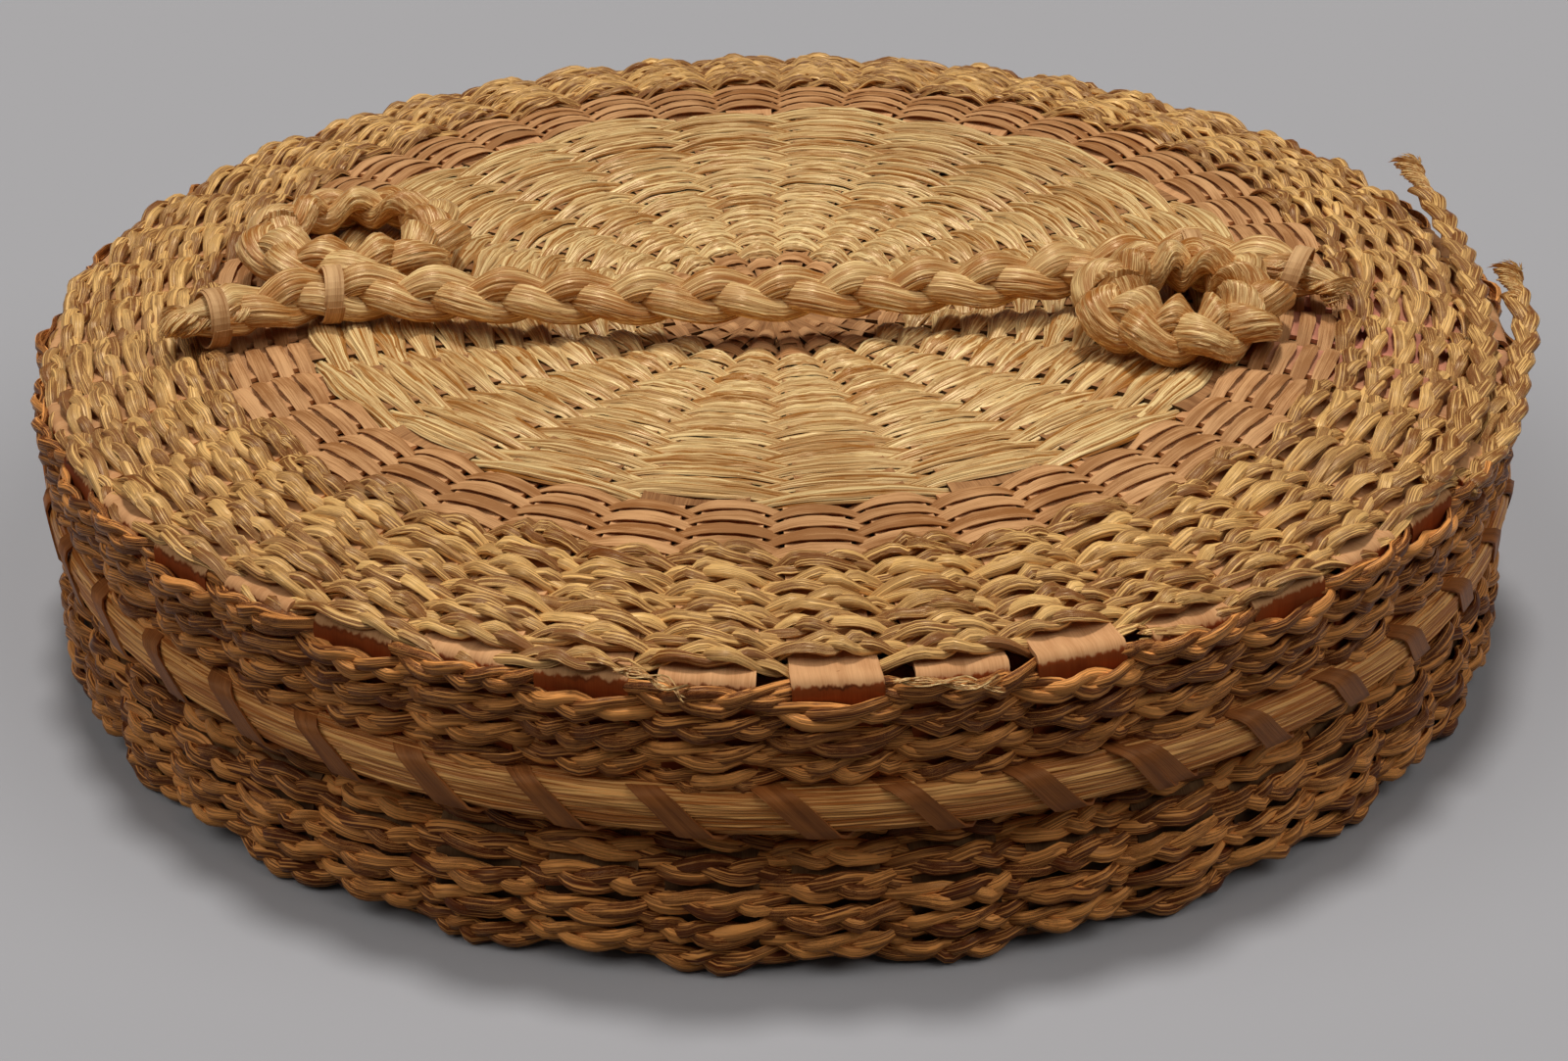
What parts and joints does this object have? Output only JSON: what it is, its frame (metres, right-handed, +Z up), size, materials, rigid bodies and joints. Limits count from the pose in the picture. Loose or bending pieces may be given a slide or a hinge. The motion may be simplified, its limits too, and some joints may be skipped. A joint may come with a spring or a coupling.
{
  "type": "covered sewing basket",
  "caption": "Flat round covered basket of ash splint and sweetgrass braid, with a lift-off lid, lashed rims and a braided loop handle.",
  "frame": {"origin": "middle of the underside, on the surface that the basket stands on", "axes": "+Z up through the lid, +X to the right and +Y away from the viewer in the pictured position"},
  "size_m": [0.3028, 0.3028, 0.0777],
  "materials": {
    "ash_splint": "dry aged ash splint, faint grain, matt",
    "ash_weaver": "thin ash splint with traces of old dye, matt",
    "sweetgrass": "dried sweetgrass strands, soft gloss along the blades",
    "dark_braid": "plaited sweetgrass, browned and dusty",
    "pale_braid": "plaited sweetgrass, faded and dusty"
  },
  "bodies": {
    "base": {"base_standards": "ash_splint", "floor_weave_inner": "ash_weaver", "floor_weave_outer": "ash_weaver", "foot_braid": "dark_braid", "belly_braid_1": "dark_braid", "belly_braid_2": "dark_braid", "shoulder_braid": "dark_braid", "neck_braid": "dark_braid", "base_rim_outer_hoop": "ash_splint", "base_rim_inner_hoop": "ash_splint", "base_rim_lashing": "ash_weaver"},
    "lid": {"lid_standards": "ash_splint", "hub_weave": "ash_weaver", "sweetgrass_row_1": "sweetgrass", "sweetgrass_row_2": "sweetgrass", "sweetgrass_row_3": "sweetgrass", "splint_band": "ash_weaver", "lid_top_braid_1": "pale_braid", "lid_top_braid_2": "pale_braid", "lid_top_braid_3": "pale_braid", "lid_edge_braid": "pale_braid", "lid_side_braid_1": "dark_braid", "lid_side_braid_2": "dark_braid", "lid_rim_bundle": "sweetgrass", "lid_rim_inner_hoop": "ash_splint", "lid_rim_lashing": "ash_weaver", "handle_braid": "sweetgrass", "left_inner_tie": "ash_weaver", "left_outer_tie": "ash_weaver", "right_inner_tie": "ash_weaver", "right_outer_tie": "ash_weaver", "left_loop": "sweetgrass", "right_loop": "sweetgrass"}
  },
  "joints": [
    {"name": "lid_lift", "type": "slide", "parent": "base", "child": "lid", "axis": [0, 0, 1], "range_m": [0, 0.08]}
  ]
}
